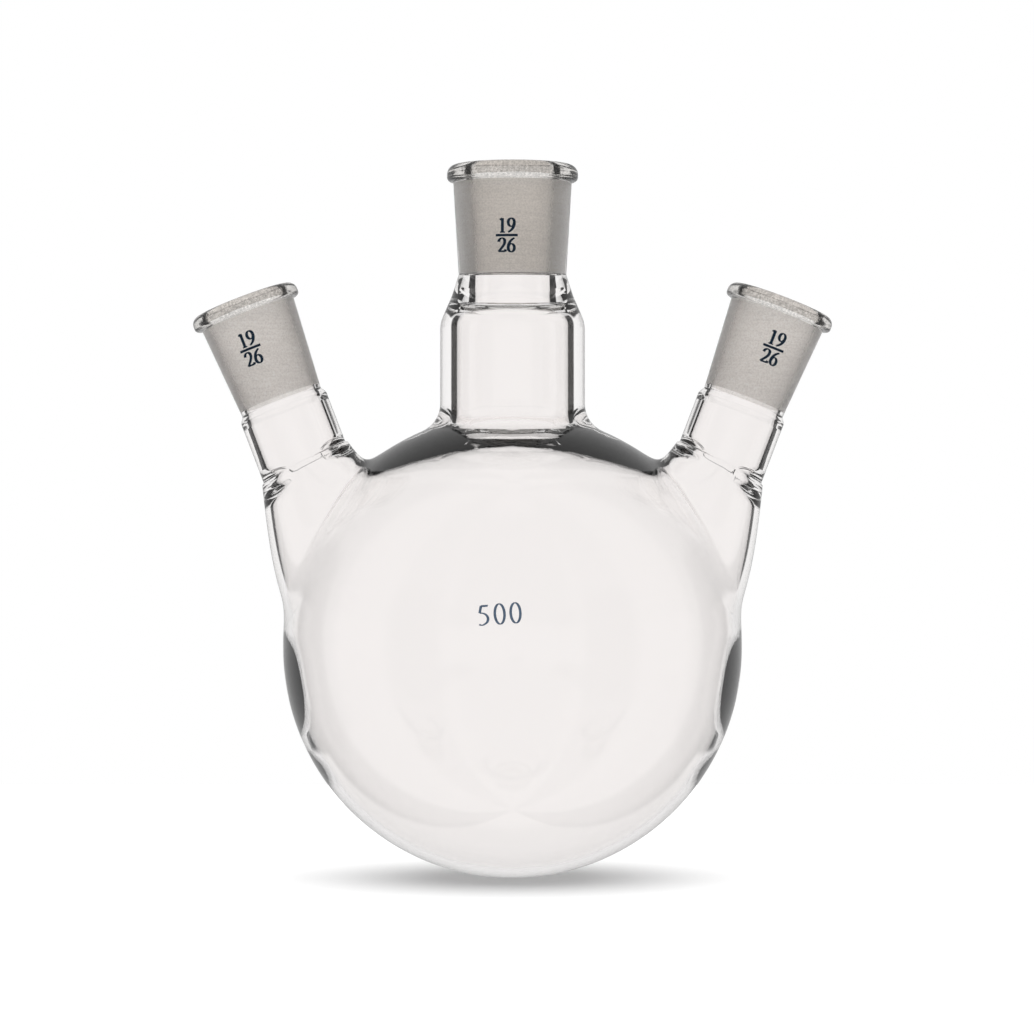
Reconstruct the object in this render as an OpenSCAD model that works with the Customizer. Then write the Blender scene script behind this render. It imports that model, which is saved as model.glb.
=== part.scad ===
// Three neck round bottom flask, blown in one piece from clear borosilicate glass.
// Millimetres. The flask is upright, with the lowest point of its bulb at the origin and +Z up.
// The three necks lie in the XZ plane. Each one ends in a ground conical socket.

/* [Bulb] */
// Outer diameter of the bulb
bulb_d = 105; // [100:1:110]
// How much taller the bulb is than it is wide
bulb_rise = 1.5; // [0.5:0.1:3]
// Glass thickness of the bulb and its shoulders
bulb_wall = 2; // [1.6:0.1:2.4]

/* [Ground sockets] */
// Bore of a socket at its mouth
socket_bore = 18.8; // [18:0.1:19.6]
// Length of a socket from its mouth to its foot
socket_length = 25.2; // [22:0.2:30]
// Length over which the bore narrows by one millimetre
socket_taper = 10; // [8:1:20]
// Rounding of the inner edge of a mouth
mouth_round = 1.4; // [0.8:0.1:1.8]

/* [Centre neck] */
// Height of the centre mouth above the lowest point of the bulb
centre_height = 163.5; // [158:0.5:175]
// Diameter over the lip of the centre neck
centre_lip_d = 30.1; // [29:0.1:33]
// Height of the lip of the centre neck
centre_lip_h = 3.9; // [3:0.1:5]
// Outer diameter of the centre socket under its lip
centre_socket_d = 27.5; // [26.4:0.1:28.4]
// Outer diameter of the centre socket at its foot
centre_foot_d = 24.7; // [22:0.1:26]
// Outer diameter of the waist below the foot
centre_waist_d = 27.8; // [26:0.1:29]
// Distance of the waist below the foot
centre_waist_drop = 4.9; // [3:0.1:6]
// Outer diameter of the straight centre neck
centre_neck_d = 33.2; // [31:0.1:36]
// Glass thickness of the straight centre neck
centre_neck_wall = 3.8; // [2.5:0.1:4.4]
// Distance from the foot down to the straight part
centre_shoulder_h = 10.2; // [8.5:0.1:12]
// Rounding of the shoulder of the centre neck
centre_shoulder_round = 4.5; // [3:0.1:5.5]
// Bore between the socket and the straight neck
centre_throat_d = 17.2; // [16.8:0.1:18.4]
// Outer rounding between the centre neck and the bulb
centre_root_round = 7; // [5:0.5:9]
// Inner rounding between the centre neck and the bulb
centre_inner_round = 9; // [6:0.5:11]

/* [Side necks] */
// Distance of a side mouth from the axis of the flask
side_reach = 62; // [60:0.5:66]
// Height of a side mouth above the lowest point of the bulb
side_height = 132.4; // [130:0.2:140]
// Lean of a side neck from the upright
side_tilt = 21; // [17:1:25]
// Diameter over the lip of a side neck
side_lip_d = 25.4; // [24.8:0.1:28]
// Height of the lip of a side neck
side_lip_h = 3.4; // [2.4:0.1:4]
// Outer diameter of a side socket under its lip
side_socket_d = 22.6; // [22.2:0.1:24]
// Outer diameter of a side socket at its foot
side_foot_d = 19.2; // [18.8:0.1:20.4]
// Outer diameter of the clear tube below a side socket
side_neck_d = 20.9; // [20:0.1:22]
// Glass thickness of the clear tube
side_neck_wall = 1.9; // [1.5:0.1:2.2]
// Length over which a side neck swells below its foot
side_swell_h = 3.6; // [2:0.1:6]

/* [Shoulders] */
// Distance along a side neck from its foot to the fused seam
seam_drop = 15.5; // [12:0.1:19]
// Slant of the seam against the side neck
seam_skew = 6.5; // [3:0.5:10]
// Outer diameter of a shoulder at its seam
shoulder_d = 22.2; // [21.8:0.1:24]
// Direction in which a shoulder leaves the bulb, from the upright
shoulder_lean = 57; // [54:1:60]
// Half angle of the ring where a shoulder runs into the bulb
shoulder_spread = 30; // [27:0.5:31]
// Half angle of a shoulder at its seam
shoulder_flare = 15; // [10:1:20]
// Stretch over which a shoulder follows the bulb
root_pull = 10.5; // [8:0.5:12]
// Stretch over which a shoulder follows its seam, towards the centre neck
inner_pull = 8; // [6:0.5:10]
// Stretch over which a shoulder follows its seam, away from the centre neck
outer_pull = 28; // [20:1:30]

/* [Smoothness] */
// Flat sides round a shoulder
skin_sides = 48; // [32:4:64]
// Rings along a shoulder
skin_rows = 10; // [8:1:14]

/* [Hidden] */
$fn = 96;
glass = [0.82, 0.86, 0.86, 0.5];

bulb_r = bulb_d / 2;
cavity_r = bulb_r - bulb_wall;
// centres of the lower and the upper half of the bulb
low_z = bulb_r;
top_z = bulb_r + bulb_rise;

// half angle of the conical bore, and its diameter at the foot of a socket
taper_angle = atan(0.5 / socket_taper);
foot_bore = socket_bore - socket_length / socket_taper;
// how far a cut runs past the glass that it opens
past = 1;

foot_z = centre_height - socket_length;
straight_z = foot_z - centre_shoulder_h;
centre_bore_d = centre_neck_d - 2 * centre_neck_wall;

side_mouth = [side_reach, 0, side_height];
side_bore_d = side_neck_d - 2 * side_neck_wall;
// the clear tube ends this far below its seam, inside the shoulder
tube_lap = 4;

// the shoulders start and end this far under the surfaces that they run into
skin_dip = 0.2;
skin_depth = 6;
seam_r = shoulder_d / 2;
// the cavity of a shoulder runs beside its outside at the thickness of the glass
cavity_spread = shoulder_spread - asin(0.6 * bulb_wall / bulb_r);
cavity_root = root_pull + bulb_wall / 4;
cavity_pull = inner_pull + bulb_wall / 2;

// ---- helpers ----

// Unit vector in the XZ plane, at an angle from the upright
function polar(angle) = [sin(angle), 0, cos(angle)];

function mix(from, to, share) = from + (to - from) * share;

// Point at share u along the cubic curve with the four given control points
function bezier(a, b, c, d, u) =
    a * pow(1 - u, 3) + 3 * b * u * pow(1 - u, 2) + 3 * c * u * u * (1 - u) + d * pow(u, 3);

// Centre of the rounding between a ball and the upright wall that stands on it
function root_centre(ball_r, wall_r, round_r) =
    [wall_r + round_r, top_z + sqrt(pow(ball_r + round_r, 2) - pow(wall_r + round_r, 2))];

// Point where the line from an outside point runs onto the upper side of a circle
function tangent_point(from, centre, radius) =
    let (gap = from - centre, reach = norm(gap))
    let (angle = atan2(gap.y, gap.x) - acos(radius / reach))
    centre + radius * [cos(angle), sin(angle)];

module half_disc(radius) {
    intersection() {
        circle(radius);
        translate([0, -radius]) square([radius, 2 * radius]);
    }
}

// Half section of the bulb, solid, for its outside or its cavity
module bulb_outline(ball_r) {
    translate([0, low_z]) half_disc(ball_r);
    translate([0, top_z]) half_disc(ball_r);
    translate([0, low_z]) square([ball_r, bulb_rise]);
}

// Half section of the flared root of the centre neck, from the ball up to the straight wall
module root_outline(ball_r, wall_r, round_r) {
    centre = root_centre(ball_r, wall_r, round_r);
    ball_centre = [0, top_z];
    foot = ball_centre + (centre - ball_centre) * ball_r / (ball_r + round_r);
    difference() {
        polygon([[0, foot.y], foot, centre, [wall_r, centre.y], [0, centre.y]]);
        translate(centre) circle(round_r);
    }
}

// ---- ground sockets, with the mouth at height 0 ----

module socket_outline(lip_d, lip_h, top_d, foot_d) {
    nose_r = lip_h / 2;
    polygon([[0, -socket_length], [foot_d / 2, -socket_length], [top_d / 2, -nose_r], [0, -nose_r]]);
    translate([0, -lip_h]) square([lip_d / 2 - nose_r, lip_h]);
    translate([lip_d / 2 - nose_r, -nose_r]) circle(nose_r);
}

// Conical bore, opened to a fire polished mouth
module socket_bore_outline() {
    centre_x = (socket_bore - mouth_round / socket_taper) / 2 + mouth_round / cos(taper_angle);
    start = [centre_x - mouth_round * cos(taper_angle), mouth_round * (sin(taper_angle) - 1)];
    polygon([[0, -socket_length], [foot_bore / 2, -socket_length], start, [0, start.y]]);
    difference() {
        polygon([[0, start.y], start, [centre_x, -mouth_round], [centre_x, past], [0, past]]);
        translate([centre_x, -mouth_round]) circle(mouth_round);
    }
}

// ---- centre neck and bulb, which share the upright axis ----

// Solid half section of the neck between the foot of its socket and its straight wall
module centre_shoulder_outline() {
    neck_r = centre_neck_d / 2;
    waist = [centre_waist_d / 2, foot_z - centre_waist_drop];
    corner = [neck_r - centre_shoulder_round, straight_z];
    start = tangent_point(waist, corner, centre_shoulder_round);
    polygon([[0, straight_z], corner, start, waist, [centre_foot_d / 2, foot_z], [0, foot_z]]);
    translate(corner) circle(centre_shoulder_round);
}

module centre_outline() {
    neck_r = centre_neck_d / 2;
    root_z = root_centre(bulb_r, neck_r, centre_root_round).y;
    bulb_outline(bulb_r);
    root_outline(bulb_r, neck_r, centre_root_round);
    translate([0, root_z]) square([neck_r, straight_z - root_z]);
    centre_shoulder_outline();
    translate([0, centre_height])
        socket_outline(centre_lip_d, centre_lip_h, centre_socket_d, centre_foot_d);
}

module centre_cavity_outline() {
    bore_r = centre_bore_d / 2;
    root_z = root_centre(cavity_r, bore_r, centre_inner_round).y;
    dome = [bore_r - centre_shoulder_round, straight_z - past];
    bulb_outline(cavity_r);
    root_outline(cavity_r, bore_r, centre_inner_round);
    translate([0, root_z]) square([bore_r, dome.y - root_z]);
    translate(dome) circle(centre_shoulder_round);
    translate([0, dome.y]) square([dome.x, centre_shoulder_round]);
    translate([0, dome.y]) square([centre_throat_d / 2, foot_z - dome.y]);
    translate([0, centre_height]) socket_bore_outline();
}

// ---- side necks, drawn upright with the mouth at height 0 ----

module side_outline() {
    foot_y = -socket_length;
    swell_y = foot_y - side_swell_h;
    end_y = foot_y - seam_drop - tube_lap;
    neck_r = side_neck_d / 2;
    socket_outline(side_lip_d, side_lip_h, side_socket_d, side_foot_d);
    polygon([[0, swell_y], [neck_r, swell_y], [side_foot_d / 2, foot_y], [0, foot_y]]);
    translate([0, end_y]) square([neck_r, swell_y - end_y]);
}

module side_cavity_outline() {
    end_y = -socket_length - seam_drop - 2 * tube_lap;
    translate([0, end_y]) square([side_bore_d / 2, -socket_length - end_y]);
    socket_bore_outline();
}

// Stands a piece drawn round the Z axis on the right side neck
module on_side_axis() {
    translate(side_mouth) rotate([0, side_tilt, 0]) children();
}

// ---- shoulders, drawn from the bulb up into the seam of the right side neck ----

// Ring direction at angle t, where 0 is the side away from the centre neck
function ring_way(t, tilt) = cos(t) * polar(tilt + 90) + [0, sin(t), 0];

// Point on the ring where a shoulder runs into a ball, and its direction there
function root_point(t, ball_r, spread) =
    [0, 0, top_z] + ball_r * (cos(spread) * polar(shoulder_lean) + sin(spread) * ring_way(t, shoulder_lean));
function root_way(t, spread) =
    sin(spread) * polar(shoulder_lean) - cos(spread) * ring_way(t, shoulder_lean);

// Point on the seam, and the shoulder's direction there
function seam_point(t, ring_r) =
    side_mouth - (socket_length + seam_drop + ring_r * cos(t) * tan(seam_skew)) * polar(side_tilt)
    + ring_r * ring_way(t, side_tilt);
function seam_way(t) =
    cos(shoulder_flare) * polar(side_tilt) - sin(shoulder_flare) * ring_way(t, side_tilt);

// Point of a shoulder at angle t and share u of the way from the bulb to the seam
function skin_point(t, u, ball_r, ring_r, spread, root, pull_in) =
    let (low = root_point(t, ball_r - skin_dip, spread), high = seam_point(t, ring_r))
    let (pull = mix(pull_in, outer_pull, (1 + cos(t)) / 2))
    bezier(low, low + root * root_way(t, spread), high - pull * seam_way(t), high, u);

// Solid skin between a ring inside the bulb and the seam
module shoulder_skin(ball_r, ring_r, spread, root, pull_in) {
    n = skin_sides;
    rows = skin_rows + 1;
    inner_ring = [for (i = [0 : n - 1]) root_point(360 * i / n, ball_r - skin_depth, spread)];
    rings = [for (j = [0 : skin_rows], i = [0 : n - 1])
        skin_point(360 * i / n, j / skin_rows, ball_r, ring_r, spread, root, pull_in)];
    sides = [for (j = [0 : rows - 1], i = [0 : n - 1])
        let (k = (i + 1) % n, low = j * n, high = (j + 1) * n)
        each [[low + i, high + i, high + k], [low + i, high + k, low + k]]];
    low_cap = [for (i = [0 : n - 1]) i];
    high_cap = [for (i = [n - 1 : -1 : 0]) rows * n + i];
    polyhedron(concat(inner_ring, rings), concat([low_cap], sides, [high_cap]), convexity = 4);
}

// ---- the flask ----

module side_neck_and_shoulder() {
    on_side_axis() rotate_extrude() side_outline();
    shoulder_skin(bulb_r, seam_r, shoulder_spread, root_pull, inner_pull);
}

module side_cavity() {
    on_side_axis() rotate_extrude() side_cavity_outline();
    shoulder_skin(cavity_r, seam_r - bulb_wall, cavity_spread, cavity_root, cavity_pull);
}

module flask() {
    color(glass)
    difference() {
        union() {
            rotate_extrude() centre_outline();
            side_neck_and_shoulder();
            mirror([1, 0, 0]) side_neck_and_shoulder();
        }
        rotate_extrude() centre_cavity_outline();
        side_cavity();
        mirror([1, 0, 0]) side_cavity();
    }
}

flask();
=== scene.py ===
"""Three neck flask of clear glass: the body, its ground sockets, its enamel numbers and the studio."""

import math

import bpy
import numpy as np
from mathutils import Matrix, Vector
from mathutils.geometry import delaunay_2d_cdt


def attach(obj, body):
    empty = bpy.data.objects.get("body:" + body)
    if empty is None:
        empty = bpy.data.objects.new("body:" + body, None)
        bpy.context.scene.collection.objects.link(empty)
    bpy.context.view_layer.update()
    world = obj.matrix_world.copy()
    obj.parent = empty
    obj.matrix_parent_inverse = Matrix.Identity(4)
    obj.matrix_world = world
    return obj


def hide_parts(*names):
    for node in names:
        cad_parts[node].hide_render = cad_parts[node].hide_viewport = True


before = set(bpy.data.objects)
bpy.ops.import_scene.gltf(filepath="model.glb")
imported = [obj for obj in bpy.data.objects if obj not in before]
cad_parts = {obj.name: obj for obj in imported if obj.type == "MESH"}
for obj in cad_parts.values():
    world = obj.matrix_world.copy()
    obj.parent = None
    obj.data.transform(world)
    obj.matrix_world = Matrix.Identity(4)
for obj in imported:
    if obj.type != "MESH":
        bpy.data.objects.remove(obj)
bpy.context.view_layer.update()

MM = 0.001
UP = np.array([0.0, 0.0, 1.0])
ACROSS = np.array([0.0, 1.0, 0.0])
MIRROR = np.array([-1.0, 1.0, 1.0])

# material slots of the glass
CLEAR, GROUND, RIM, SIDE_GROUND = range(4)

# ---- sizes of the flask, in millimetres, with the lowest point of the bulb at the origin ----

BULB_R = 52.5
BULB_WALL = 2.0
BULB_RISE = 1.5
CAVITY_R = BULB_R - BULB_WALL
# centres of the lower and the upper half of the bulb
LOW_Z = BULB_R
TOP_Z = BULB_R + BULB_RISE

SOCKET_BORE_R = 9.4
SOCKET_LENGTH = 25.2
# length over which the bore of a socket narrows by one millimetre
SOCKET_TAPER = 10.0
MOUTH_ROUND = 1.4

CENTRE_HEIGHT = 163.5
CENTRE_SOCKET = dict(lip_r=15.05, lip_h=3.9, top_r=13.75, foot_r=12.35, throat_r=8.6,
                     ground_length=26.0, ledge=0.4, ground=GROUND)
CENTRE_FOOT_Z = CENTRE_HEIGHT - SOCKET_LENGTH
CENTRE_WAIST = (13.9, CENTRE_FOOT_Z - 4.9)
CENTRE_NECK_R = 16.6
CENTRE_BORE_R = 12.8
STRAIGHT_Z = CENTRE_FOOT_Z - 12.7
CENTRE_SHOULDER_ROUND = 7.5
# flat end of the wide bore under the throat
CEILING_Z = CENTRE_FOOT_Z - 8.2
CEILING_ROUND = 4.0
ROOT_ROUND = 7.0
INNER_ROOT_ROUND = 9.0

SIDE_MOUTH = np.array([62.0, 0.0, 132.4])
SIDE_TILT = 21.0
SIDE_NECK_R = 10.45
SIDE_BORE_R = 8.55
SIDE_SOCKET = dict(lip_r=12.7, lip_h=3.4, top_r=11.3, foot_r=9.6, throat_r=SIDE_BORE_R,
                   ground_length=24.1, ledge=3.0, ground=SIDE_GROUND)
SIDE_SWELL_H = 1.3
# the seam lies this far under the foot of the socket, and its skew fades out above it
SEAM_DROP = 15.5
SEAM_SKEW = math.tan(math.radians(6.5))
SKEW_START = 1.5
SKEW_FADE = SEAM_DROP - 4.0

SHOULDER_SEAM_R = 11.1
SHOULDER_LEAN = 57.0
SHOULDER_SPREAD = math.radians(30.0)
SHOULDER_FLARE = math.radians(15.0)
ROOT_PULL = 10.5
INNER_PULL = 8.0
OUTER_PULL = 28.0
CAVITY_SEAM_R = SHOULDER_SEAM_R - BULB_WALL
CAVITY_SPREAD = SHOULDER_SPREAD - math.asin(0.6 * BULB_WALL / BULB_R)
# share of the way up a shoulder where its cavity starts to narrow
NARROWING_START = 0.4

# ---- unevenness of the blown glass: extra thickness in millimetres, at angles in degrees ----

# round the root of the centre neck, with more of it on the sides that face the side necks
ROOT_GATHER = 1.25
CROTCH_GATHER = 1.6
CROTCH_WIDTH = 35.0
ROOT_END = 20.0
ROOT_FADE = 25.0
RIPPLE = 0.02
# in a flat under each shoulder, and in a lump below the flat
FLAT_ANGLE = 101.0
FLAT_HALF = 11.5
FLAT_WIDTH = 17.0
# its edges are softened, and it ends where its chord is this far outside the bulb, or at this angle
FLAT_SOFTNESS = 0.2
FLAT_REACH = 8.0
FLAT_LIMIT = 60.0
LUMP_GATHER = 0.2
LUMP_ANGLE = 124.0
LUMP_WIDTH = 4.0
# the bulb's extra glass fades out over this much of a neck
NECK_FADE = 6.0
# behind the seam of a side neck, at a height above the seam and over a width
OUTER_SEAM_GATHER = 1.5
OUTER_SEAM = (-0.9, 2.0)
INNER_SEAM_GATHER = 1.2
INNER_SEAM = (-0.4, 1.6)
# it starts where the wall's share of facing away from the centre neck, or towards it, passes these
OUTER_FACING = 0.1
INNER_FACING = 0.3

# ---- fineness of the meshes ----

NECK_SIDES = 96
BULB_SIDES = 192
BULB_STEP = 1.7
# area of a cell of the bulb's lattice, and the gap that it keeps from a ring, as shares of the step
CELL_SHARE = 0.866
GAP_SHARE = 0.75
LINE_STEP = 2.5
ARC_STEP = math.radians(9)
SHOULDER_ROWS = 26
BOWL_ROWS = 48
# points of a half section closer than this are one point
LEAST_GAP = 0.004


# ---- directions and curves ----

def polar(angle):
    """Unit vector in the XZ plane, at an angle in degrees from the upright."""
    a = math.radians(angle)
    return np.array([math.sin(a), 0.0, math.cos(a)])


def ring_way(t, tilt):
    """Ring directions at the angles t, where 0 is the side away from the centre neck."""
    return np.outer(np.cos(t), polar(tilt + 90)) + np.outer(np.sin(t), ACROSS)


def unit(vectors):
    """Vectors brought to length one."""
    return vectors / np.linalg.norm(vectors, axis=-1, keepdims=True)


def angles(sides):
    """Even angles in radians round a ring."""
    return np.arange(sides) * (2 * math.pi / sides)


def bezier(a, b, c, d, u):
    """Point at the share u of a cubic curve with four control points."""
    return a * (1 - u) ** 3 + 3 * b * u * (1 - u) ** 2 + 3 * c * u * u * (1 - u) + d * u ** 3


def step(x):
    """Smooth step from 0 to 1 as x goes from 0 to 1."""
    x = np.clip(x, 0, 1)
    return x * x * (3 - 2 * x)


def mound(x, middle, width):
    """Rounded mound that is 1 at its middle and falls off over its width."""
    return np.exp(-((x - middle) / width) ** 2)


class Path:
    """Half section of a turned surface: points (radius, height), normals, and the finish after each."""

    def __init__(self):
        self.points = []
        self.normals = []
        self.finish = []

    def add(self, point, normal, finish):
        self.points.append(point)
        self.normals.append(normal)
        self.finish.append(finish)

    def line(self, start, end, normal, finish):
        """Straight run between two points."""
        steps = max(1, math.ceil(np.linalg.norm(end - start) / LINE_STEP))
        for i in range(steps + 1):
            point = start + (end - start) * i / steps
            self.add(tuple(point), normal, finish)

    def arc(self, centre, radius, start, end, finish=CLEAR, hollow=False):
        """Arc between two angles in radians. Its normals point to the centre if it is hollow."""
        steps = max(2, math.ceil(abs(end - start) / ARC_STEP))
        sign = -1 if hollow else 1
        for i in range(steps + 1):
            a = start + (end - start) * i / steps
            way = (math.cos(a), math.sin(a))
            point = (centre[0] + radius * way[0], centre[1] + radius * way[1])
            self.add(point, (sign * way[0], sign * way[1]), finish)

    def corners(self, knots):
        """Straight runs through knots (radius, height, rounding, finish), with each corner rounded."""
        spots = [np.array(k[:2], float) for k in knots]
        start = spots[0]
        for i in range(1, len(spots)):
            way = unit(spots[i] - spots[i - 1])
            normal = (way[1], -way[0])
            cut, bend = 0.0, 0.0
            if i + 1 < len(spots):
                after = unit(spots[i + 1] - spots[i])
                bend = math.atan2(way[0] * after[1] - way[1] * after[0], way @ after)
                cut = knots[i][2] * abs(math.tan(bend / 2))
            end = spots[i] - cut * way
            self.line(start, end, normal, knots[i - 1][3])
            start = end
            if cut:
                side = 1 if bend > 0 else -1
                centre = end + side * knots[i][2] * np.array([-way[1], way[0]])
                spoke = end - centre
                turn = math.atan2(spoke[1], spoke[0])
                self.arc(centre, knots[i][2], turn, turn + bend, knots[i][3], hollow=side < 0)
                start = spots[i] + cut * after

    def cleaned(self):
        """Arrays of the points, the normals and the finish, without repeated points."""
        keep = [0]
        for i in range(1, len(self.points)):
            gap = math.dist(self.points[i], self.points[keep[-1]])
            if gap > LEAST_GAP:
                keep.append(i)
            else:
                self.finish[keep[-1]] = self.finish[i]
        return [np.array([row[i] for i in keep]) for row in (self.points, self.normals, self.finish)]


class Skin:
    """Collects the points, normals and faces of one closed surface."""

    def __init__(self):
        self.points = []
        self.normals = []
        self.faces = []
        self.slots = []
        self.count = 0

    def add_points(self, points, normals):
        """Adds points of any grid shape and returns their indices in that shape."""
        shape = points.shape[:-1]
        self.points.append(points.reshape(-1, 3))
        self.normals.append(unit(normals).reshape(-1, 3))
        indices = self.count + np.arange(int(np.prod(shape))).reshape(shape)
        self.count += indices.size
        return indices

    def add_faces(self, faces, slot):
        self.faces += [tuple(f) for f in faces]
        self.slots += [slot] * len(faces)

    def add_bands(self, grid, finish):
        """Quads between the closed rings of a grid, row by row."""
        right = np.roll(grid, -1, axis=1)
        for row in range(len(grid) - 1):
            quads = np.stack([grid[row], right[row], right[row + 1], grid[row + 1]], axis=1)
            self.add_faces(quads.tolist(), int(finish[row]))

    def add_fan(self, ring, tip, rising):
        """Triangles from a ring to the tip below it, in a grid that rises from the tip or falls to it."""
        after = np.roll(ring, -1)
        for a, b in zip(ring.tolist(), after.tolist()):
            self.add_faces([(b, a, tip)] if rising else [(a, b, tip)], CLEAR)

    def mesh(self, name):
        """Blender mesh of the surface, shaded smoothly by its own normals."""
        data = bpy.data.meshes.new(name)
        data.from_pydata((np.concatenate(self.points) * MM).tolist(), [], self.faces)
        data.polygons.foreach_set("material_index", self.slots)
        data.polygons.foreach_set("use_smooth", [True] * len(self.faces))
        data.normals_split_custom_set_from_vertices(np.concatenate(self.normals).tolist())
        data.update()
        return data


# ---- unevenness of the blown glass ----

def root_gather(below, beside):
    """Extra glass round the centre neck's root, at angles from the upright and from the side necks."""
    turn = np.radians(90 + beside)
    waves = np.cos(9 * turn) * np.cos(np.radians(62 * below))
    waves = waves + np.cos(14 * turn + 1) * np.cos(np.radians(41 * below + 50))
    extra = ROOT_GATHER + CROTCH_GATHER * mound(beside, 0, CROTCH_WIDTH) + RIPPLE * waves
    return extra * (1 - step((below - ROOT_END) / ROOT_FADE))


def side_gather(below, beside):
    """Extra glass under a shoulder: a flat that cuts the ball along a chord, and a lump."""
    off_flat = np.radians(np.clip(below - FLAT_ANGLE, -FLAT_LIMIT, FLAT_LIMIT))
    chord = CAVITY_R * (1 - math.cos(math.radians(FLAT_HALF)) / np.cos(off_flat))
    flat = (chord + np.sqrt(chord ** 2 + FLAT_SOFTNESS ** 2)) / 2 - FLAT_SOFTNESS ** 2 / 4
    flat = np.where(chord > -FLAT_REACH, flat, 0)
    lump = LUMP_GATHER * mound(below, LUMP_ANGLE, LUMP_WIDTH)
    return (flat + lump) * mound(beside, 0, FLAT_WIDTH)


def thickened(points):
    """Moves points of the bulb's inner surface inwards, where the glass gathered under the necks."""
    x, y, z = points.T
    from_middle = points.copy()
    from_middle[:, 2] -= np.clip(z, LOW_Z, TOP_Z)
    reach = np.linalg.norm(from_middle, axis=1)
    below = np.degrees(np.arctan2(np.hypot(x, y), z - TOP_Z))
    beside = np.degrees(np.arctan2(y, np.abs(x)))
    extra = root_gather(below, beside) + side_gather(below, beside)
    fade = 1 - step((reach - CAVITY_R) / NECK_FADE)
    return points - from_middle * (extra * fade / reach)[:, None]


def gathered(points):
    """Moves points of the right neck's inner surface inwards, where glass gathered behind the seam."""
    axis, outwards = polar(SIDE_TILT), polar(SIDE_TILT + 90)
    from_seam = points - (SIDE_MOUTH - (SOCKET_LENGTH + SEAM_DROP) * axis)
    along = from_seam @ axis
    from_axis = from_seam - along[:, None] * axis
    reach = np.linalg.norm(from_axis, axis=1)
    facing = from_axis @ outwards / reach
    height = along + reach * facing * SEAM_SKEW
    on_outer = step((facing - OUTER_FACING) / (1 - OUTER_FACING))
    on_inner = step((-facing - INNER_FACING) / (1 - INNER_FACING))
    extra = OUTER_SEAM_GATHER * mound(height, *OUTER_SEAM) * on_outer
    extra = extra + INNER_SEAM_GATHER * mound(height, *INNER_SEAM) * on_inner
    return points - from_axis * (extra / reach)[:, None]


def warped(points, normals, move):
    """Points moved by a smooth field, with their normals turned to suit."""
    flat, n = points.reshape(-1, 3), unit(normals.reshape(-1, 3))
    other = np.where(np.abs(n[:, 2:]) < 0.7, UP, ACROSS)
    a = unit(np.cross(n, other))
    b = np.cross(n, a)
    tiny = 0.01
    base = move(flat)
    turned_normals = np.cross(move(flat + tiny * a) - base, move(flat + tiny * b) - base)
    return base.reshape(points.shape), turned_normals.reshape(points.shape)


def warped_inside(points, normals, *moves):
    """The rings of a neck, with those behind the mouth moved."""
    mouth = int(np.argmax(points[:, :, 2].mean(axis=1)))
    inner_points, inner_normals = points[mouth:], normals[mouth:]
    for move in moves:
        inner_points, inner_normals = warped(inner_points, inner_normals, move)
    points = np.concatenate([points[:mouth], inner_points])
    return points, np.concatenate([normals[:mouth], inner_normals])


# ---- ground sockets and the centre neck ----

def bore_r(drop):
    """Radius of the ground cone at a distance under the mouth."""
    return SOCKET_BORE_R - drop / SOCKET_TAPER / 2


def socket_knots(mouth_z, lip_r, lip_h, top_r, foot_r, throat_r, ground_length, ledge, ground):
    """Knots from a socket's foot over the lip, then down the ground bore and a ledge to the throat."""
    nose_z = mouth_z - lip_h / 2
    foot_z = mouth_z - SOCKET_LENGTH
    share = (mouth_z - lip_h - foot_z) / (nose_z - foot_z)
    under_r = foot_r + (top_r - foot_r) * share
    ground_start = 0.9 * lip_h
    cone_end = max(ground_length, SOCKET_LENGTH)
    return [
        (foot_r, foot_z, 0.5, CLEAR),
        (under_r, mouth_z - lip_h, 0.35, RIM),
        (lip_r, mouth_z - lip_h, 0.26 * lip_h, RIM),
        (lip_r, mouth_z, 0.56 * lip_h, RIM),
        (SOCKET_BORE_R, mouth_z, MOUTH_ROUND, RIM),
        (bore_r(ground_start), mouth_z - ground_start, 0.0, ground),
        (bore_r(ground_length), mouth_z - ground_length, 0.0, CLEAR),
        (bore_r(cone_end) + 0.001, mouth_z - cone_end - 0.01, 0.5, CLEAR),
        (throat_r, mouth_z - cone_end - ledge, 0.4 * ledge, CLEAR),
    ]


def root_centre(ball_r, wall_r, round_r):
    """Centre of the rounding between a ball and the upright wall that stands on it."""
    r = wall_r + round_r
    return r, TOP_Z + math.sqrt((ball_r + round_r) ** 2 - r ** 2)


def towards_ball(centre):
    """Direction in radians from a point of the half section to the middle of the bulb's upper half."""
    return math.atan2(TOP_Z - centre[1], -centre[0])


def shoulder_corner():
    """Where the upright wall would meet the line from the waist over the rounded shoulder."""
    centre = np.array([CENTRE_NECK_R - CENTRE_SHOULDER_ROUND, STRAIGHT_Z])
    gap = np.array(CENTRE_WAIST) - centre
    reach = np.linalg.norm(gap)
    a = math.atan2(gap[1], gap[0]) - math.acos(CENTRE_SHOULDER_ROUND / reach)
    touch = centre + CENTRE_SHOULDER_ROUND * np.array([math.cos(a), math.sin(a)])
    way = touch - np.array(CENTRE_WAIST)
    share = (CENTRE_NECK_R - CENTRE_WAIST[0]) / way[0]
    return CENTRE_NECK_R, CENTRE_WAIST[1] + share * way[1]


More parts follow.
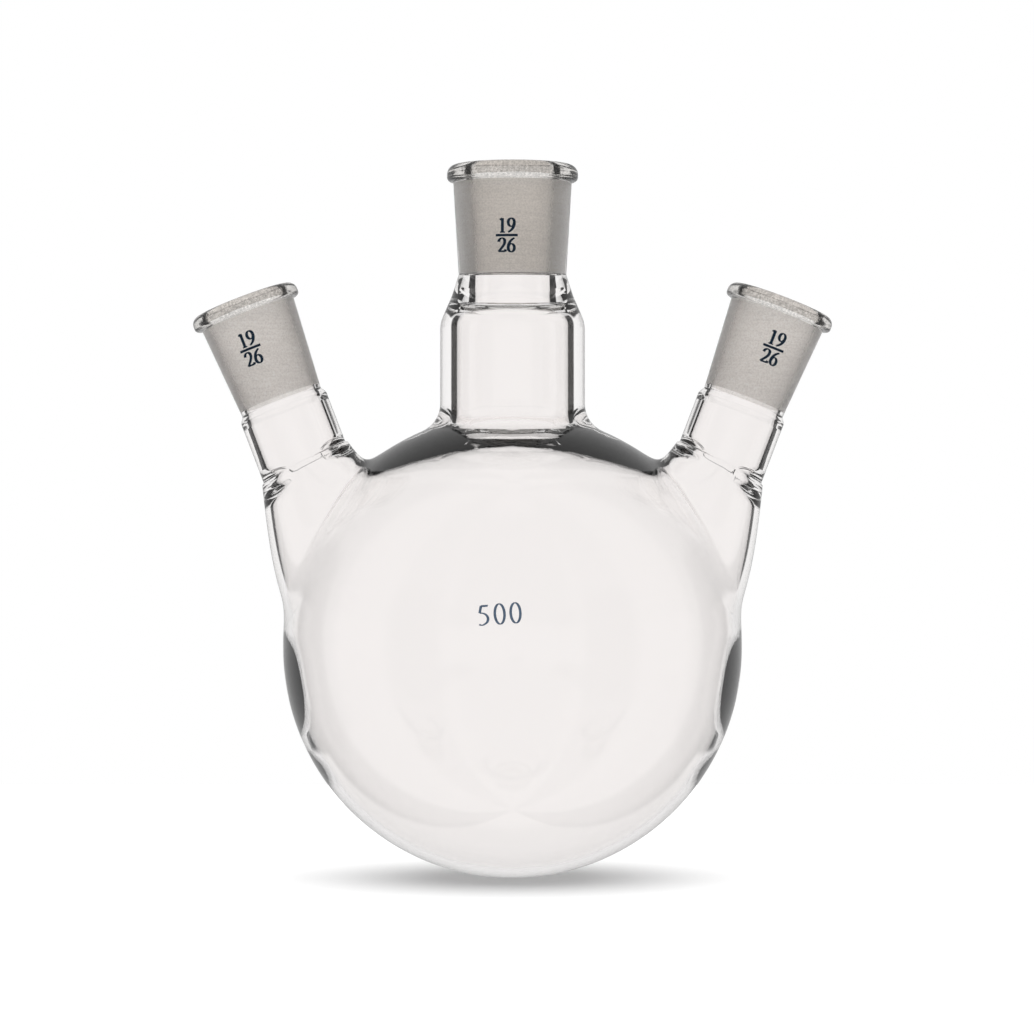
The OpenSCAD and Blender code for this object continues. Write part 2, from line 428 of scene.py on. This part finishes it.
def centre_path():
    """Half section of the centre neck, from the bulb up outside the glass and down inside it."""
    outer = root_centre(BULB_R, CENTRE_NECK_R, ROOT_ROUND)
    inner = root_centre(CAVITY_R, CENTRE_BORE_R, INNER_ROOT_ROUND)
    path = Path()
    path.arc(outer, ROOT_ROUND, towards_ball(outer), -math.pi, hollow=True)
    path.corners([
        (CENTRE_NECK_R, outer[1], 0.0, CLEAR),
        (*shoulder_corner(), CENTRE_SHOULDER_ROUND, CLEAR),
        (*CENTRE_WAIST, 0.5, CLEAR),
        *socket_knots(CENTRE_HEIGHT, **CENTRE_SOCKET),
        (CENTRE_SOCKET["throat_r"], CEILING_Z, 0.15, CLEAR),
        (CENTRE_BORE_R, CEILING_Z, CEILING_ROUND, CLEAR),
        (CENTRE_BORE_R, inner[1], 0.0, CLEAR),
    ])
    path.arc(inner, INNER_ROOT_ROUND, -math.pi, towards_ball(inner))
    return path.cleaned()


def turned(points, normals, sides):
    """Rings of points and normals of a half section turned round the Z axis."""
    t = angles(sides)
    around = np.stack([np.cos(t), np.sin(t), 0 * t], axis=1)
    return [pairs[:, 0, None, None] * around + pairs[:, 1, None, None] * UP
            for pairs in (points, normals)]


# ---- side necks and shoulders, drawn for the right side ----

def shoulder_points(t, u, ball_r, ring_r, spread, root, pull_in):
    """Points of a shoulder at the ring angles t and the share u of the way from the bulb to the seam."""
    lean, tilt = ring_way(t, SHOULDER_LEAN), ring_way(t, SIDE_TILT)
    low = TOP_Z * UP + ball_r * (math.cos(spread) * polar(SHOULDER_LEAN) + math.sin(spread) * lean)
    leave = math.sin(spread) * polar(SHOULDER_LEAN) - math.cos(spread) * lean
    drop = SOCKET_LENGTH + SEAM_DROP + ring_r * SEAM_SKEW * np.cos(t)
    high = SIDE_MOUTH - drop[:, None] * polar(SIDE_TILT) + ring_r * tilt
    arrive = math.cos(SHOULDER_FLARE) * polar(SIDE_TILT) - math.sin(SHOULDER_FLARE) * tilt
    pull = pull_in + (OUTER_PULL - pull_in) * (1 + np.cos(t)) / 2
    return bezier(low, low + root * leave, high - pull[:, None] * arrive, high, u)


def outer_shoulder(t, u):
    """Outside of a shoulder."""
    return shoulder_points(t, u, BULB_R, SHOULDER_SEAM_R, SHOULDER_SPREAD, ROOT_PULL, INNER_PULL)


def inner_shoulder(t, u):
    """Inside of a shoulder: one wall under the outside, then narrowing to the bore of the neck."""
    under = outer_shoulder(t, u) - BULB_WALL * surface_normals(outer_shoulder, t, u)
    narrowed = shoulder_points(t, u, CAVITY_R, CAVITY_SEAM_R, CAVITY_SPREAD,
                               ROOT_PULL + BULB_WALL / 4, INNER_PULL + BULB_WALL / 2)
    share = step((u - NARROWING_START) / (1 - NARROWING_START))
    return under * (1 - share) + narrowed * share


def surface_normals(surface, t, u):
    """Outward normals of a surface with the parameters t around and u upwards."""
    tiny = 1e-3
    round_step = surface(t + tiny, u) - surface(t - tiny, u)
    up_step = surface(t, u + tiny) - surface(t, u - tiny)
    return unit(np.cross(round_step, up_step))


def shoulder_rings(outside):
    """Rings of a shoulder, from the bulb up outside the glass, or from the seam down inside it."""
    t = angles(NECK_SIDES)
    shares = np.linspace(0, 1, SHOULDER_ROWS + 1)
    surface, sign = (outer_shoulder, 1) if outside else (inner_shoulder, -1)
    points = [surface(t, u) for u in shares[::sign]]
    normals = [sign * surface_normals(surface, t, u) for u in shares[::sign]]
    return np.array(points), np.array(normals)


def side_path():
    """Half section of a side neck: up outside the glass, down inside it. The seam is at height 0."""
    mouth = SOCKET_LENGTH + SEAM_DROP
    foot = mouth - SOCKET_LENGTH
    slope = math.tan(SHOULDER_FLARE)
    path = Path()
    path.corners([
        (SHOULDER_SEAM_R, 0.0, 0.0, CLEAR),
        (SHOULDER_SEAM_R - 0.45 * slope, 0.45, 0.3, CLEAR),
        (SIDE_NECK_R, 0.8, 0.3, CLEAR),
        (SIDE_NECK_R, foot - SIDE_SWELL_H, 1.2, CLEAR),
        *socket_knots(mouth, **SIDE_SOCKET),
        (SIDE_BORE_R, 1.0, 0.4, CLEAR),
        (CAVITY_SEAM_R - 0.3 * slope, 0.3, 0.3, CLEAR),
        (CAVITY_SEAM_R, 0.0, 0.0, CLEAR),
    ])
    return path.cleaned()


def side_rings():
    """Rings of a side neck. The seam is skewed against the neck, and the rings straighten above it."""
    points, normals, finish = side_path()
    t = angles(NECK_SIDES)
    axis = polar(SIDE_TILT)
    away = ring_way(t, SIDE_TILT)
    around = np.outer(-np.sin(t), polar(SIDE_TILT + 90)) + np.outer(np.cos(t), ACROSS)
    base = SIDE_MOUTH - (SOCKET_LENGTH + SEAM_DROP) * axis
    out_points, out_normals = [], []
    for (r, z), (normal_r, normal_z) in zip(points, normals):
        skew = SEAM_SKEW * min(1.0, max(0.0, 1 - (z - SKEW_START) / SKEW_FADE))
        height = z - r * np.cos(t) * skew
        out_points.append(base + r * away + height[:, None] * axis)
        out_normals.append((normal_r + normal_z * np.cos(t) * skew)[:, None] * away
                           - (normal_z * np.sin(t) * skew)[:, None] * around + normal_z * axis)
    return np.array(out_points), np.array(out_normals), finish


def side_grid():
    """One grid of rings: up the outside of the shoulder and the neck, then down the inside of both."""
    rise_points, rise_normals = shoulder_rings(True)
    neck_points, neck_normals, finish = side_rings()
    fall_points, fall_normals = shoulder_rings(False)
    points = np.concatenate([rise_points[:-1], neck_points, fall_points[1:]])
    normals = np.concatenate([rise_normals[:-1], neck_normals, fall_normals[1:]])
    plain = [CLEAR] * SHOULDER_ROWS
    return points, normals, np.concatenate([plain, finish, plain])


# ---- bulb ----

def bowl_rings(ball_r, rising):
    """Rings of the bulb's lower half and its short straight band. They rise outside and fall inside."""
    dip = np.linspace(0, math.pi / 2, BOWL_ROWS + 1)[:-1]
    bowl = [(ball_r * math.cos(a), LOW_Z - ball_r * math.sin(a)) for a in dip]
    profile = np.array([(ball_r, TOP_Z)] + bowl)
    normals = np.array([(1.0, 0.0)] + [(math.cos(a), -math.sin(a)) for a in dip])
    if rising:
        return turned(profile[::-1], normals[::-1], BULB_SIDES)
    return turned(profile, -normals, BULB_SIDES)


def lattice(ball_r):
    """Evenly spread directions over a ball, about one BULB_STEP apart."""
    total = int(4 * math.pi * ball_r ** 2 / (CELL_SHARE * BULB_STEP ** 2))
    i = np.arange(total)
    z = 1 - (2 * i + 1) / total
    a = i * math.pi * (3 - math.sqrt(5))
    r = np.sqrt(1 - z * z)
    return np.stack([r * np.cos(a), r * np.sin(a), z], axis=1)


def dome_spots(ball_r, holes):
    """Even directions over the upper half of a ball, clear of its widest ring and its round holes."""
    gap = GAP_SHARE * BULB_STEP / ball_r
    spots = lattice(ball_r)
    spots = spots[spots[:, 2] > gap]
    for ways in holes:
        middle = unit(ways.mean(axis=0))
        reach = math.acos(float(ways[0] @ middle)) + gap
        spots = spots[spots @ middle < math.cos(reach)]
    return spots


def flat_triangles(flat, sizes):
    """Triangles between flat points that start with closed rings. All rings but the first stay open."""
    edges, start = [], 0
    owner = np.full(len(flat), -1)
    for k, n in enumerate(sizes):
        edges += [(start + i, start + (i + 1) % n) for i in range(n)]
        owner[start:start + n] = k
        start += n
    made = delaunay_2d_cdt([Vector(p) for p in flat], edges, [], 1, 1e-9, True)
    origin = [o[0] for o in made[3]]
    for face in made[2]:
        a, b, c = (origin[k] for k in face)
        if not (owner[a] > 0 and owner[a] == owner[b] == owner[c]):
            yield a, b, c


def dome(skin, ball_r, rim, holes, outside):
    """Fills the upper half of a ball between its widest ring and the rings of three holes."""
    every = np.concatenate(skin.points)
    rings = [rim, *holes]
    ring_ways = [unit(every[ring] - TOP_Z * UP) for ring in rings]
    spots = dome_spots(ball_r, ring_ways[1:])
    points, normals = TOP_Z * UP + ball_r * spots, spots
    if not outside:
        points, normals = warped(points, -spots, thickened)
    fresh = skin.add_points(points, normals)
    ids = np.concatenate([*rings, fresh])
    ways = np.concatenate([*ring_ways, spots])
    flat = ways[:, :2] / (1 + ways[:, 2:])
    for a, b, c in flat_triangles(flat, [len(ring) for ring in rings]):
        p, q, r = flat[a], flat[b], flat[c]
        turn = (q[0] - p[0]) * (r[1] - p[1]) - (q[1] - p[1]) * (r[0] - p[0])
        if (turn > 0) != outside:
            b, c = c, b
        skin.add_faces([(int(ids[a]), int(ids[b]), int(ids[c]))], CLEAR)


def add_bulb(skin, ball_r, holes, outside):
    """Adds the outer or the inner surface of the bulb, up to the rings of the three necks."""
    points, normals = bowl_rings(ball_r, outside)
    if not outside:
        points, normals = warped(points, normals, thickened)
    rings = skin.add_points(points, normals)
    skin.add_bands(rings, [CLEAR] * len(rings))
    rim, low = (rings[-1], rings[0]) if outside else (rings[0], rings[-1])
    tip = skin.add_points((LOW_Z - ball_r) * UP[None], (-UP if outside else UP)[None])
    skin.add_fan(low, int(tip[0]), rising=outside)
    dome(skin, ball_r, rim, holes, outside)


def add_necks(skin):
    """Adds the centre neck and the two side necks, and returns the grids of their rings."""
    points, normals, finish = centre_path()
    centre = skin.add_points(*warped_inside(*turned(points, normals, NECK_SIDES), thickened))
    skin.add_bands(centre, finish)
    points, normals, finish = side_grid()
    points, normals = warped_inside(points, normals, gathered, thickened)
    right = skin.add_points(points, normals)
    left = skin.add_points((points * MIRROR)[:, ::-1], (normals * MIRROR)[:, ::-1])
    skin.add_bands(right, finish)
    skin.add_bands(left, finish)
    return centre, right, left


def flask_skin():
    """The whole body of glass as one closed surface."""
    skin = Skin()
    necks = add_necks(skin)
    add_bulb(skin, BULB_R, [grid[0] for grid in necks], outside=True)
    add_bulb(skin, CAVITY_R, [grid[-1] for grid in necks], outside=False)
    return skin


# ---- materials ----

class Nodes:
    """Short way to build a node tree."""

    def __init__(self, tree):
        self.tree = tree
        tree.nodes.clear()

    def node(self, kind, settings=None, **inputs):
        """New node with its settings and inputs. An underscore in an input's name stands for a space."""
        made = self.tree.nodes.new(kind)
        for key, value in (settings or {}).items():
            setattr(made, key, value)
        for key, value in inputs.items():
            self.set(made, key.replace("_", " "), value)
        return made

    def set(self, node, name, value):
        """Links a socket to an input, or gives it a plain value. A number is the input's position."""
        socket = node.inputs[int(name)] if name.isdigit() else node.inputs[name]
        if isinstance(value, bpy.types.NodeSocket):
            self.tree.links.new(value, socket)
        else:
            socket.default_value = value

    def math(self, operation, a, b=0.0):
        made = self.node("ShaderNodeMath", {"operation": operation})
        self.set(made, "0", a)
        self.set(made, "1", b)
        return made.outputs[0]

    def times(self, a, b):
        return self.math("MULTIPLY", a, b)

    def mix(self, share, a, b):
        """Value a where share is 0 and value b where it is 1."""
        made = self.node("ShaderNodeMix")
        self.set(made, "0", share)
        self.set(made, "2", a)
        self.set(made, "3", b)
        return made.outputs[0]

    def ramp(self, value, low, high, start=0.0, end=1.0):
        """Smooth change from start to end while the value goes from low to high."""
        made = self.node("ShaderNodeMapRange", {"interpolation_type": "SMOOTHSTEP"}, Value=value,
                         From_Min=low, From_Max=high, To_Min=start, To_Max=end)
        return made.outputs["Result"]

    def scaled(self, colour, share):
        """A fixed colour times a value."""
        made = self.node("ShaderNodeVectorMath", {"operation": "SCALE"}, Scale=share)
        made.inputs[0].default_value = colour
        return made.outputs[0]

    def place(self):
        return self.node("ShaderNodeTexCoord").outputs["Object"]

    def noise(self, place, **settings):
        return self.node("ShaderNodeTexNoise", Vector=place, **settings).outputs["Fac"]


def material(name):
    """New material and the maker of its nodes."""
    made = bpy.data.materials.new(name)
    made.use_nodes = True
    return made, Nodes(made.node_tree)


GLASS_IOR = 1.47
CLEAR_TINT = (0.955, 0.937, 0.930)
# finishes with grit: grain is the fineness of the speckles per metre, and depth how deep they are
GRIT = dict(roughness=0.5, through=0.7, grain=2600.0, contrast=0.16, depth=0.3)
# grey tints of the ground glass: partly its own colour, partly painted shade that stands in for the dim
# surroundings the frosted glass scatters; the centre socket's tint is painted darker than the side
# sockets'
GROUND_SHADE_TINT = (0.765, 0.722, 0.670)
SIDE_GROUND_SHADE_TINT = (0.93, 0.888, 0.846)
RIM_GRIT = dict(roughness=0.0, through=1.0, grain=2000.0, contrast=0.3, depth=0.2)
RIM_TINT = (0.70, 0.68, 0.657)
# fineness per metre of the grooves that the grinding left, which run round a socket
GROOVES = (150.0, 150.0, 2200.0)


def finish_glass(n, shader, tint, through=1.0):
    """Sets the tint and clearness of a glass shader and makes it the surface."""
    n.set(shader, "Base Color", (*tint, 1.0))
    n.set(shader, "Specular Tint", (*tint, 1.0))
    n.set(shader, "Transmission Weight", through)
    n.set(shader, "IOR", GLASS_IOR)
    n.node("ShaderNodeOutputMaterial", Surface=shader.outputs["BSDF"])


def clear_glass():
    """Clear glass with a faintly uneven surface."""
    made, n = material("clear_glass")
    noise = n.noise(n.place(), Scale=90.0, Detail=2.0)
    bump = n.node("ShaderNodeBump", Strength=0.05, Distance=0.0002, Height=noise)
    shader = n.node("ShaderNodeBsdfPrincipled", Roughness=0.0, Normal=bump.outputs["Normal"])
    finish_glass(n, shader, CLEAR_TINT)
    return made


def ground_glass(name, tint, roughness, through, grain, contrast, depth):
    """Glass ground with grit, with speckles and with fine grooves round the socket."""
    made, n = material(name)
    place = n.place()
    noise = n.noise(place, Scale=grain, Detail=2.0, Roughness=0.7)
    squash = n.node("ShaderNodeMapping", Vector=place, Scale=GROOVES)
    rings = n.noise(squash.outputs[0], Scale=1.0, Detail=2.0)
    speckle = n.ramp(noise, 0.3, 0.7, 1 - contrast, 1 + contrast)
    groove = n.ramp(rings, 0.3, 0.7, 1 - contrast / 3, 1 + contrast / 3)
    bump = n.node("ShaderNodeBump", Strength=depth, Distance=0.0001, Height=noise)
    shader = n.node("ShaderNodeBsdfPrincipled", Roughness=roughness, Normal=bump.outputs["Normal"])
    # for the two ground socket finishes this tint is partly painted shade; it also dims the light that
    # passes through
    finish_glass(n, shader, [math.sqrt(c) for c in tint], through)
    n.set(shader, "Base Color", n.scaled(tint, n.times(speckle, groove)))
    return made


def enamel_material(name, colour):
    """Dull enamel with slightly uneven colour."""
    made, n = material(name + "_enamel")
    noise = n.noise(n.place(), Scale=3000.0, Detail=1.0)
    shader = n.node("ShaderNodeBsdfPrincipled", Roughness=0.6, Specular_IOR_Level=0.1)
    n.set(shader, "Base Color", n.scaled(colour, n.ramp(noise, 0.3, 0.7, 0.8, 1.2)))
    n.node("ShaderNodeOutputMaterial", Surface=shader.outputs["BSDF"])
    return made


# ---- the glass body ----

def added(name, data):
    """New object in the scene."""
    made = bpy.data.objects.new(name, data)
    bpy.context.scene.collection.objects.link(made)
    return made


def build_glass():
    """The body, with its materials in the order of the slots."""
    data = flask_skin().mesh("flask_glass")
    data.materials.append(clear_glass())
    data.materials.append(ground_glass("ground_glass", GROUND_SHADE_TINT, **GRIT))
    data.materials.append(ground_glass("rim_glass", RIM_TINT, **RIM_GRIT))
    data.materials.append(ground_glass("side_ground_glass", SIDE_GROUND_SHADE_TINT, **GRIT))
    made = added("flask_glass", data)
    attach(made, "root")
    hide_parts("flask")


# ---- enamel numbers ----

NAVY = (0.006, 0.016, 0.030)
BLUE = (0.075, 0.105, 0.150)
# lines of (text, left, bottom) and the height of a digit are in millimetres; the pitch of the digits
# and the thinnest and thickest stroke of the pen are shares of that height
SIZE_MARK = dict(lines=[("19", -2.15, 0.82), ("-", -2.6, -1.45), ("26", -2.15, -3.7)],
                 height=3.3, pitch=0.64, pen=(0.09, 0.165), colour=NAVY)
VOLUME_MARK = dict(lines=[("500", -4.95, -2.35)],
                   height=4.7, pitch=0.74, pen=(0.055, 0.1), colour=BLUE)
BAR_PEN = (0.17, 0.17)
DIGIT_WIDTH = np.array([1.25, 1.0])
ENAMEL_DEPTH = 0.05
ENAMEL_GAP = 0.01
# each neck's name, mouth, lean and socket, then how far its mark lies across and under the mouth
SIZE_SPOTS = (("centre", CENTRE_HEIGHT * UP, 0.0, CENTRE_SOCKET, -1.26, 17.4),
              ("left", SIDE_MOUTH * MIRROR, -SIDE_TILT, SIDE_SOCKET, -2.0, 12.0),
              ("right", SIDE_MOUTH, SIDE_TILT, SIDE_SOCKET, 1.8, 12.0))
CONE_TOP = 1.8
VOLUME_SPOT = (-2.76, 59.9)
VOLUME_LEAN = math.radians(4.0)


def arc_stroke(centre, radii, start, end, steps=18):
    """Points on an ellipse between two angles in degrees."""
    spots = [math.radians(start + (end - start) * i / steps) for i in range(steps + 1)]
    return [(centre[0] + radii[0] * math.cos(a), centre[1] + radii[1] * math.sin(a)) for a in spots]


def curve_stroke(a, b, c, d, steps=14):
    """Points on a cubic curve."""
    points = [np.array(p, float) for p in (a, b, c, d)]
    return [tuple(bezier(*points, i / steps)) for i in range(steps + 1)]


# strokes of each digit in a box one high and half as wide, and of the bar between two lines
DIGITS = {
    "-": [[(0.0, 0.5), (0.45, 0.5), (0.9, 0.5), (1.23, 0.5)]],
    "0": [arc_stroke((0.25, 0.5), (0.18, 0.47), 0, 360, 32)],
    "1": [[(0.27, 0.98), (0.27, 0.03)], [(0.27, 0.97), (0.12, 0.87)], [(0.13, 0.02), (0.41, 0.02)]],
    "2": [curve_stroke((0.06, 0.72), (0.08, 1.05), (0.42, 1.08), (0.4, 0.72)),
          curve_stroke((0.4, 0.72), (0.39, 0.5), (0.2, 0.28), (0.06, 0.05)),
          [(0.05, 0.06), (0.42, 0.06)], [(0.41, 0.05), (0.46, 0.2)], [(0.1, 0.09), (0.38, 0.09)]],
    "5": [[(0.17, 0.94), (0.43, 0.94)], [(0.18, 0.9), (0.41, 0.9)], [(0.17, 0.94), (0.1, 0.6)],
          curve_stroke((0.1, 0.6), (0.42, 0.62), (0.5, 0.2), (0.26, 0.07)),
          curve_stroke((0.26, 0.07), (0.18, 0.02), (0.12, 0.02), (0.06, 0.08))],
    "6": [arc_stroke((0.25, 0.31), (0.17, 0.28), 0, 360, 28),
          curve_stroke((0.08, 0.31), (0.08, 0.65), (0.25, 0.9), (0.43, 0.98))],
    "9": [arc_stroke((0.25, 0.69), (0.17, 0.28), 0, 360, 28),
          curve_stroke((0.42, 0.69), (0.42, 0.35), (0.25, 0.1), (0.07, 0.02))],
}


def stroke_edges(points, thin, thick):
    """Left and right edges of a pen stroke that is thick where it runs upright."""
    points = np.array(points)
    way = unit(np.gradient(points, axis=0))
    width = thin + (thick - thin) * np.abs(way[:, 1:]) ** 1.5
    across = np.stack([-way[:, 1], way[:, 0]], axis=1) * width / 2
    return points + across, points - across


def add_ribbon(points, faces, rows, place):
    """Closed thin solid between two rows of flat points, laid on the glass by place(u, v, rise)."""
    base, n = len(points), len(rows[0])
    for rise in (0.0, ENAMEL_DEPTH):
        for row in rows:
            points += [place(u, v, rise) for u, v in row]
    low_a, low_b, top_a, top_b = (base + k * n for k in range(4))
    for i in range(n - 1):
        j = i + 1
        faces += [(top_a + i, top_b + i, top_b + j, top_a + j),
                  (low_a + j, low_b + j, low_b + i, low_a + i),
                  (low_a + i, top_a + i, top_a + j, low_a + j),
                  (low_b + j, top_b + j, top_b + i, low_b + i)]
    for i, turn in ((0, 1), (n - 1, -1)):
        faces.append((low_a + i, low_b + i, top_b + i, top_a + i)[::turn])


def enamel(name, place, lines, height, pitch, pen, colour):
    """Enamel lettering, laid on the glass by place(u, v, rise)."""
    points, faces = [], []
    for text, left, bottom in lines:
        for k, sign in enumerate(text):
            start = np.array([left + k * pitch * height, bottom])
            for stroke in DIGITS[sign]:
                edges = stroke_edges(stroke, *(BAR_PEN if sign == "-" else pen))
                rows = [side * height * DIGIT_WIDTH + start for side in edges]
                add_ribbon(points, faces, rows, place)
    data = bpy.data.meshes.new(name)
    data.from_pydata((np.array(points) * MM).tolist(), [], faces)
    data.materials.append(enamel_material(name, colour))
    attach(added(name, data), "root")


def on_cone(mouth, tilt, socket, u0, v0):
    """Way to lay lettering on the front of a socket, centred at u0 across and v0 under the mouth."""
    def place(u, v, rise):
        drop = v0 - v
        share = (drop - CONE_TOP) / (SOCKET_LENGTH - CONE_TOP)
        r = socket["top_r"] + (socket["foot_r"] - socket["top_r"]) * share + ENAMEL_GAP + rise
        turn = (u + u0) / r
        around = math.sin(turn) * polar(tilt + 90) - math.cos(turn) * ACROSS
        return tuple(mouth - drop * polar(tilt) + r * around)
    return place


def on_bulb(u0, z0, lean):
    """Way to lay lettering on the front of the bulb, turned left by the lean in radians."""
    def place(u, v, rise):
        x = u0 + u * math.cos(lean) - v * math.sin(lean)
        z = z0 + u * math.sin(lean) + v * math.cos(lean) - TOP_Z
        way = unit(np.array([x, -math.sqrt(BULB_R ** 2 - x * x - z * z), z]))
        return tuple(TOP_Z * UP + (BULB_R + ENAMEL_GAP + rise) * way)
    return place


def build_numbers():
    """The size on each socket and the volume on the bulb."""
    for name, *spot in SIZE_SPOTS:
        enamel(f"size_mark_{name}", on_cone(*spot), **SIZE_MARK)
    enamel("volume_mark", on_bulb(*VOLUME_SPOT, VOLUME_LEAN), **VOLUME_MARK)


# ---- studio ----

EYE = Vector((1.03, -1150.0, 50.0)) * MM
TARGET = Vector((1.03, 0.0, 82.6)) * MM
VIEW_WIDTH = 237.1 * MM
SENSOR = 36.0

# levels of the white world: as the outside of the glass mirrors it, and on dull surfaces
REFLECTED_LEVEL = 0.55
AMBIENT_LEVEL = 0.45
# dark screens in the world, as pairs of angles over which they fade in or out
FLANK_START = np.radians((36, 41))
FLANK_END = np.radians((64, 72))
FLANK_TOP = np.radians((20, 28))
OVERHEAD_LOW = np.radians((6, 12))
OVERHEAD_HIGH = np.radians((62, 74))
OVERHEAD_SIDE = np.radians((27, 35))
# from the horizon down to the dip, the flank screens start closer in, where it is steep enough
FLANK_DIP = math.radians(20)
DIP_SLOPE = (0.225, 0.255)
DIP_WIDENING = 2.0
SCREEN_DARKNESS = 0.98
# what is left of the darkness past the top of a flank screen and past the side of the one overhead,
# for rays that turn back to the camera, and for rays that crossed the glass more than twice
FLANK_REST = 0.3
OVERHEAD_REST = 0.25
BACKWARD_REST = 0.45
LATE_REST = 0.4

FLOOR_HALF = 300 * MM
FLOOR_TILT = math.radians(2.6)
PAPER_TONE = 0.69
PAPER_GLOW = 0.29

LAMP_PLACE = Vector((0.01, 0.0, 0.7))
LAMP_AIM = Vector((0.0, 0.0, 0.06))
LAMP_SIZE = 2.0
LAMP_WATTS = 22.0


def look_at(made, aim):
    """Turns a camera or a lamp towards a point."""
    made.rotation_euler = (aim - made.location).to_track_quat("-Z", "Y").to_euler()


def build_camera():
    data = bpy.data.cameras.new("camera")
    data.sensor_width = SENSOR
    data.lens = SENSOR * (TARGET - EYE).length / VIEW_WIDTH
    made = added("camera", data)
    made.location = EYE
    look_at(made, TARGET)
    bpy.context.scene.camera = made


def screens(n, way):
    """Darkness of the screens in a direction: one on each flank and one overhead."""
    side = n.math("ARCTAN2", n.math("ABSOLUTE", way["X"]), n.math("ABSOLUTE", way["Y"]))
    height = n.math("ARCSINE", way["Z"])
    below = n.times(height, -1.0)
    dip = n.math("MAXIMUM", n.math("MINIMUM", below, n.math("SUBTRACT", FLANK_DIP, below)), 0.0)
    steep = n.ramp(n.math("DIVIDE", below, side), *DIP_SLOPE)
    widened = n.math("ADD", side, n.times(n.times(dip, steep), DIP_WIDENING))
    flank = n.times(n.ramp(widened, *FLANK_START), n.ramp(side, *FLANK_END, 1.0, 0.0))
    flank = n.times(flank, n.ramp(height, *FLANK_TOP, 1.0, FLANK_REST))
    overhead = n.times(n.ramp(height, *OVERHEAD_LOW), n.ramp(height, *OVERHEAD_HIGH, 1.0, 0.0))
    overhead = n.times(overhead, n.ramp(side, *OVERHEAD_SIDE, 1.0, OVERHEAD_REST))
    return n.times(n.math("MAXIMUM", flank, overhead), SCREEN_DARKNESS)


def build_world():
    """White studio. Only rays that were reflected within the glass find its dark screens."""
    world = bpy.data.worlds.new("studio")
    bpy.context.scene.world = world
    world.use_nodes = True
    n = Nodes(world.node_tree)
    path = n.node("ShaderNodeLightPath").outputs
    direction = n.node("ShaderNodeTexCoord").outputs["Generated"]
    way = n.node("ShaderNodeSeparateXYZ", Vector=direction).outputs
    ahead = n.ramp(way["Y"], -0.1, 0.1, BACKWARD_REST, 1.0)
    early = n.ramp(path["Transmission Depth"], 2.4, 2.6, 1.0, LATE_REST)
    seen_dark = n.math("SUBTRACT", 1.0, n.times(n.times(screens(n, way), ahead), early))
    refracted = n.math("GREATER_THAN", path["Transmission Depth"], 0.5)
    mirrored = n.math("GREATER_THAN", path["Glossy Depth"], 0.5)
    scattered = n.math("GREATER_THAN", path["Diffuse Depth"], 0.5)
    value = n.mix(refracted, REFLECTED_LEVEL, n.mix(mirrored, 1.0, seen_dark))
    value = n.mix(scattered, value, AMBIENT_LEVEL)
    value = n.mix(path["Is Camera Ray"], value, 1.0)
    background = n.node("ShaderNodeBackground", Strength=value, Color=(1.0, 1.0, 1.0, 1.0))
    n.node("ShaderNodeOutputWorld", Surface=background.outputs[0])


def floor_paper():
    """Dull, slightly self-lit white paper that can't be seen from behind."""
    made, n = material("floor_paper")
    back = n.node("ShaderNodeNewGeometry").outputs["Backfacing"]
    paper = n.node("ShaderNodeBsdfDiffuse", Color=(PAPER_TONE, PAPER_TONE, PAPER_TONE, 1.0))
    glow = n.node("ShaderNodeEmission", Strength=PAPER_GLOW)
    white = n.node("ShaderNodeAddShader")
    n.set(white, "0", paper.outputs[0])
    n.set(white, "1", glow.outputs[0])
    clear = n.node("ShaderNodeBsdfTransparent")
    mix = n.node("ShaderNodeMixShader", Fac=back)
    n.set(mix, "1", white.outputs[0])
    n.set(mix, "2", clear.outputs[0])
    n.node("ShaderNodeOutputMaterial", Surface=mix.outputs[0])
    return made


def build_floor():
    """Floor that rises to the back and touches the bulb."""
    rise = math.tan(FLOOR_TILT)
    drop = BULB_R * MM * (1 / math.cos(FLOOR_TILT) - 1)
    corners = [(x * FLOOR_HALF, y * FLOOR_HALF) for x, y in ((-1, -1), (1, -1), (1, 1), (-1, 1))]
    data = bpy.data.meshes.new("floor")
    data.from_pydata([(x, y, y * rise - drop) for x, y in corners], [], [(0, 1, 2, 3)])
    data.materials.append(floor_paper())
    floor = added("floor", data)
    floor.visible_transmission = False
    floor.visible_glossy = False


def build_lamp():
    """One broad lamp over the flask, which only lights and is never seen."""
    data = bpy.data.lights.new("lamp_top", "AREA")
    data.size = LAMP_SIZE
    data.energy = LAMP_WATTS
    made = added("lamp_top", data)
    made.location = LAMP_PLACE
    look_at(made, LAMP_AIM)
    made.visible_camera = False
    made.visible_glossy = False
    made.visible_transmission = False


build_camera()
build_world()
build_floor()
build_lamp()
build_glass()
build_numbers()

bpy.context.scene.view_settings.view_transform = "Standard"
